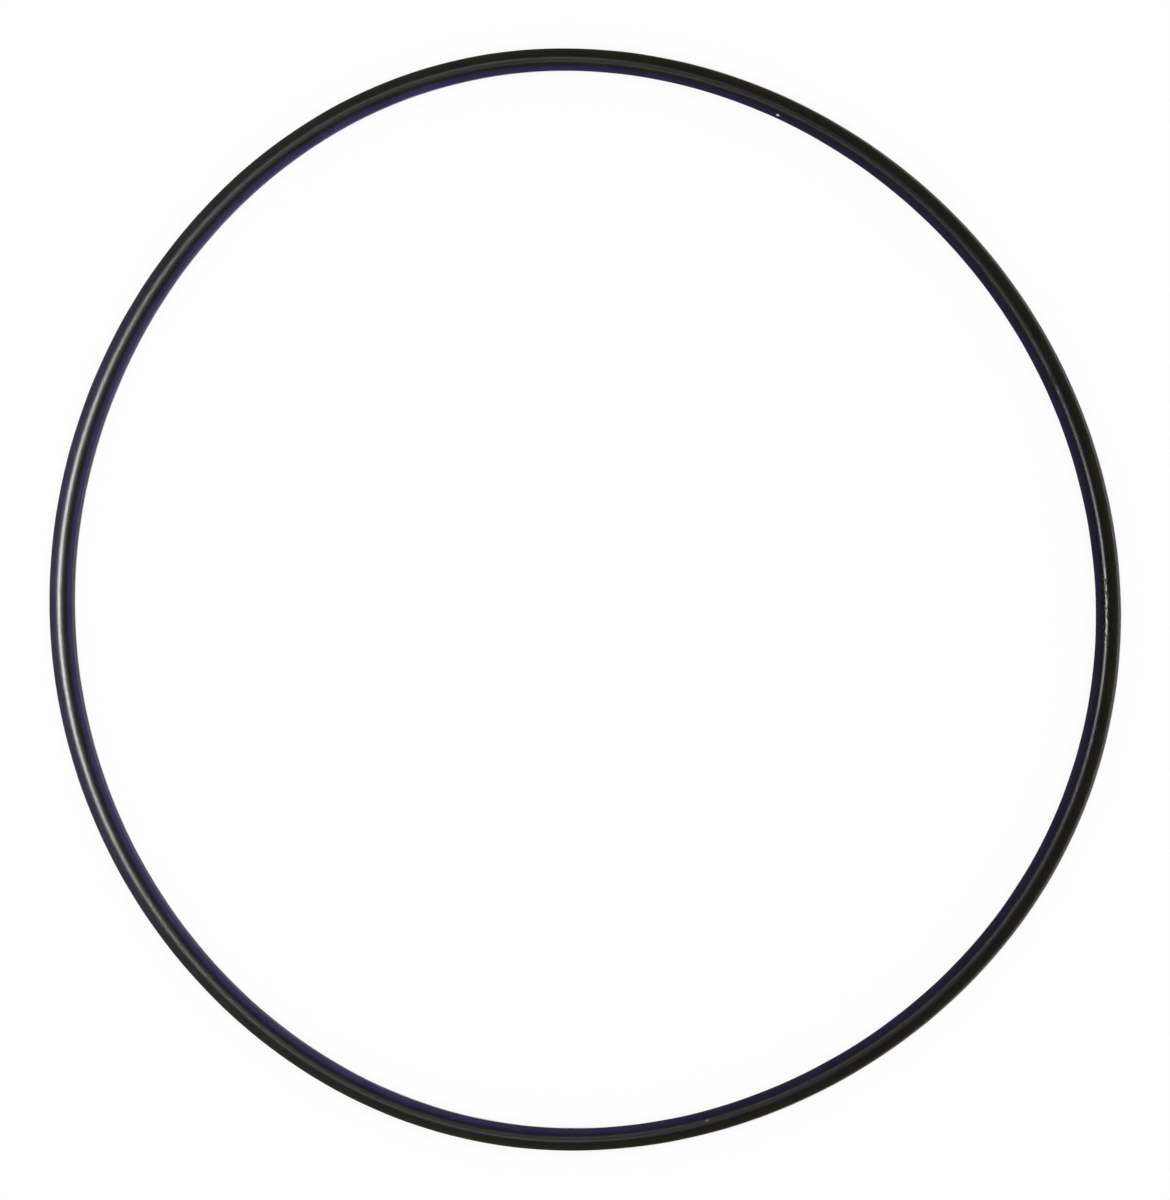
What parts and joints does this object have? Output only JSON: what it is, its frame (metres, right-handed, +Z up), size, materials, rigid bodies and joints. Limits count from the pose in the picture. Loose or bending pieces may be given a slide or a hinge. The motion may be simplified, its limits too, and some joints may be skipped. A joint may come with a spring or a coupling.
{
  "type": "o-ring",
  "caption": "Large thin rubber o-ring of round section, lying flat and slightly out of round, with a fine mould witness line inside and outside.",
  "frame": {"origin": "centroid of the ring, in the middle of the open hole and half-way up its thickness", "axes": "+Z is up, square to the plane in which the ring lies; +X and +Y lie in that plane, with +Y along the ring's longer span"},
  "size_m": [0.1302, 0.1343, 0.0026],
  "materials": {
    "rubber": "dull satin moulded black rubber with a soft grey sheen along the tube"
  },
  "bodies": {
    "root": {"o_ring": "rubber"}
  },
  "joints": []
}
